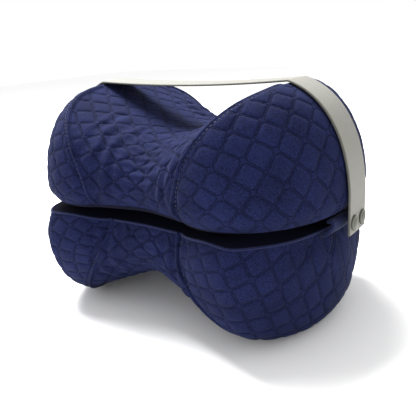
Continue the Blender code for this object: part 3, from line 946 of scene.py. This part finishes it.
# The edge fold: the lower cover's edge seam, turned over into a thin roll all round the mouth.
# It is the cover's own cloth, and lies along the border between the quilting and the facing.
FOLD_RADIUS = 0.0009
FOLD_SIDES = 10
fold_angles = np.linspace(0, math.pi, ACROSS_STEPS + 1)
fold_right = cap_grid(LOWER, fold_angles)[0][0, ::-1]
fold_saddle = saddle_grid(LOWER, fold_angles)[0][0]
fold_near = np.concatenate([fold_right[::-1] * np.array((-1, 1, 1)), fold_saddle[1:], fold_right[1:]])
fold_line = np.concatenate([fold_near, fold_near[::-1][1:-1] * np.array((1, -1, 1))])
fold_run = np.roll(fold_line, -1, axis=0) - np.roll(fold_line, 1, axis=0)
fold_run[:, 2] = 0
fold_run /= np.linalg.norm(fold_run, axis=1)[:, None]
rings = []
marks = []
for index, (place, run) in enumerate(zip(fold_line, fold_run)):
    ring = []
    for step in range(FOLD_SIDES):
        turn = 2 * math.pi * step / FOLD_SIDES
        across = FOLD_RADIUS * math.cos(turn)
        level = MIDDLE - place[2] + FOLD_RADIUS * math.sin(turn)
        ring.append((place[0] + run[1] * across, place[1] - run[0] * across, level))
        marks.append((step / FOLD_SIDES, index * 0.001))
    rings.append(ring)
fold = swept_mesh("lower_edge_fold", rings, marks)
fold.data.materials.append(plain_knit_material)
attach(fold, "root")

# The stitches: navy polyester thread along the two seams of each half, and in two rows beside each hem.
# Each stitch is a short rounded bar that lies in the crease of its seam or on the band.
THREAD_COLOUR = "#161a3c"
STITCH_LENGTH = 0.0026
STITCH_SPACING = 0.0034
STITCH_THICKNESS = 0.00055
STITCH_LIFT = 0.00035
HEM_STITCH_LENGTH = 0.0018
HEM_STITCH_SPACING = 0.0024
HEM_STITCH_ROWS = (0.0042, 0.0064)
HEM_STITCH_LIFT = 0.0001
LOBE_SIDE = 0.060
SEAM_LINE_STEPS = 240
SEAM_LINE_MARGIN = 0.03
SEAM_LINE_INSIDE = 0.985
STITCH_SINK_SHARE = 0.8
STITCH_OFF_FLOOR = 0.0004


def stitch_tree(material):
    """Node tree that lays a stitch at even steps along each line."""
    tree = bpy.data.node_groups.new("thread_stitches", "GeometryNodeTree")
    tree.interface.new_socket("Geometry", in_out="INPUT", socket_type="NodeSocketGeometry")
    sizes = {}
    for name in ("Spacing", "Length", "Thickness"):
        socket = tree.interface.new_socket(name, in_out="INPUT", socket_type="NodeSocketFloat")
        sizes[name] = socket.identifier
    tree.interface.new_socket("Geometry", in_out="OUTPUT", socket_type="NodeSocketGeometry")
    given = add(tree, "NodeGroupInput")
    curve = add(tree, "GeometryNodeMeshToCurve", [(0, given.outputs[0])])
    resampled = add(tree, "GeometryNodeResampleCurve", [("Curve", curve.outputs[0])], mode="LENGTH")
    tree.links.new(given.outputs["Spacing"], resampled.inputs["Length"])
    tangent = add(tree, "GeometryNodeInputTangent")
    turn = add(tree, "FunctionNodeAlignRotationToVector", [("Vector", tangent.outputs[0])], axis="X")
    size = add(tree, "ShaderNodeCombineXYZ", [
        (0, given.outputs["Length"]), (1, given.outputs["Thickness"]), (2, given.outputs["Thickness"]),
    ])
    bar = add(tree, "GeometryNodeMeshUVSphere")
    bar.inputs["Segments"].default_value = 6
    bar.inputs["Rings"].default_value = 5
    bar.inputs["Radius"].default_value = 0.5
    laid = add(tree, "GeometryNodeInstanceOnPoints", [
        ("Points", resampled.outputs[0]), ("Instance", bar.outputs[0]), ("Rotation", turn.outputs[0]),
        ("Scale", size.outputs[0]),
    ])
    real = add(tree, "GeometryNodeRealizeInstances", [(0, laid.outputs[0])])
    painted = add(tree, "GeometryNodeSetMaterial", [("Geometry", real.outputs[0])])
    painted.inputs["Material"].default_value = material
    add(tree, "NodeGroupOutput", [(0, painted.outputs[0])])
    return tree, sizes


def seam_lines(half):
    """Lines of the seams in their creases, on both sides of the saddle."""
    angles = np.linspace(SEAM_LINE_MARGIN, math.pi - SEAM_LINE_MARGIN, SEAM_LINE_STEPS)
    lines = []
    for way in (1, -1):
        seam = saddle_point(half, way * 1.0, angles)
        inside = saddle_point(half, way * SEAM_LINE_INSIDE, angles)
        normal = np.cross(np.gradient(seam, axis=0), (inside - seam) * way)
        normal /= np.linalg.norm(normal, axis=1)[:, None]
        normal *= np.sign((normal * (seam - np.array((way * LOBE_SIDE, 0, 0)))).sum(axis=1))[:, None]
        line = seam + normal * (STITCH_LIFT - CREASE_DEPTH * STITCH_SINK_SHARE)
        line[:, 2] = np.maximum(MIDDLE + half["side"] * line[:, 2], STITCH_OFF_FLOOR)
        lines.append(line)
    return lines


def hem_lines(side):
    """Two rows of stitches beside each hem of an end band."""
    lines = []
    for way in (-1, 1):
        for inner in HEM_STITCH_ROWS:
            line = []
            for spread, (inset, height) in list(zip(BAND_SPREAD, BAND_PROFILE))[1:-1]:
                place, outward = upper_outline(way * (BAND_HALF_SPAN - inner) * (1 + spread))
                point = place - outward * (inset - HEM_STITCH_LIFT)
                line.append((side * point[0], point[1], MIDDLE + height))
            lines.append(np.array(line))
    return lines


def lay_stitches(name, lines, spacing, length):
    """Plain mesh of the stitches along these lines."""
    points = np.concatenate(lines)
    edges = []
    start = 0
    for line in lines:
        edges += [(start + index, start + index + 1) for index in range(len(line) - 1)]
        start += len(line)
    mesh = bpy.data.meshes.new(name + "_lines")
    mesh.from_pydata(points.tolist(), edges, [])
    carrier = bpy.data.objects.new(name + "_lines", mesh)
    bpy.context.collection.objects.link(carrier)
    modifier = carrier.modifiers.new("stitches", "NODES")
    modifier.node_group = stitch_nodes
    modifier[stitch_sizes["Spacing"]] = spacing
    modifier[stitch_sizes["Length"]] = length
    modifier[stitch_sizes["Thickness"]] = STITCH_THICKNESS
    evaluated = carrier.evaluated_get(bpy.context.evaluated_depsgraph_get())
    result = bpy.data.meshes.new_from_object(evaluated)
    bpy.data.objects.remove(carrier)
    result.name = name
    result.shade_smooth()
    item = bpy.data.objects.new(name, result)
    bpy.context.collection.objects.link(item)
    return item


thread_material, _, thread_shader = new_material("navy_polyester_thread")
thread_shader.inputs["Base Color"].default_value = linear(THREAD_COLOUR)
thread_shader.inputs["Roughness"].default_value = 0.6
stitch_nodes, stitch_sizes = stitch_tree(thread_material)
stitch_sets = (
    ("upper_seam_stitches", seam_lines(UPPER), STITCH_SPACING, STITCH_LENGTH),
    ("lower_seam_stitches", seam_lines(LOWER), STITCH_SPACING, STITCH_LENGTH),
    ("hem_stitches", hem_lines(1) + hem_lines(-1), HEM_STITCH_SPACING, HEM_STITCH_LENGTH),
)
for name, lines, spacing, length in stitch_sets:
    stitches = lay_stitches(name, lines, spacing, length)
    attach(stitches, "root")

# The light: an evenly lit white room, a soft source high on the left and a weak one in front on the right.
# The floor is a wide pale sheet under the pillow. The standard view transform keeps floor and room white.
FLOOR_REACH = 3.0
floor_mesh = bpy.data.meshes.new("floor")
floor_mesh.from_pydata(
    [(-FLOOR_REACH, -FLOOR_REACH, 0), (FLOOR_REACH, -FLOOR_REACH, 0), (FLOOR_REACH, FLOOR_REACH, 0),
     (-FLOOR_REACH, FLOOR_REACH, 0)], [], [(0, 1, 2, 3)],
)
floor = bpy.data.objects.new("floor", floor_mesh)
bpy.context.collection.objects.link(floor)
floor_material, _, floor_shader = new_material("pale_floor_paint")
floor_shader.inputs["Base Color"].default_value = linear("#fafafa")
floor_shader.inputs["Roughness"].default_value = 0.9
floor.data.materials.append(floor_material)

world = bpy.data.worlds.new("room")
bpy.context.scene.world = world
world.use_nodes = True
room = world.node_tree.nodes["Background"]
room.inputs["Color"].default_value = (1, 1, 1, 1)
room.inputs["Strength"].default_value = 1.0
bpy.context.scene.view_settings.view_transform = "Standard"


def soft_light(name, place, size, power):
    """Square area light aimed at the pillow."""
    data = bpy.data.lights.new(name, "AREA")
    data.shape = "SQUARE"
    data.size = size
    data.energy = power
    item = bpy.data.objects.new(name, data)
    item.location = place
    item.rotation_euler = (Vector((0, 0, 0.08)) - Vector(place)).to_track_quat("-Z", "Y").to_euler()
    bpy.context.collection.objects.link(item)


soft_light("top_light", (-0.55, 0.15, 1.25), 0.7, 54)
soft_light("front_light", (0.9, -1.1, 0.7), 0.9, 2)
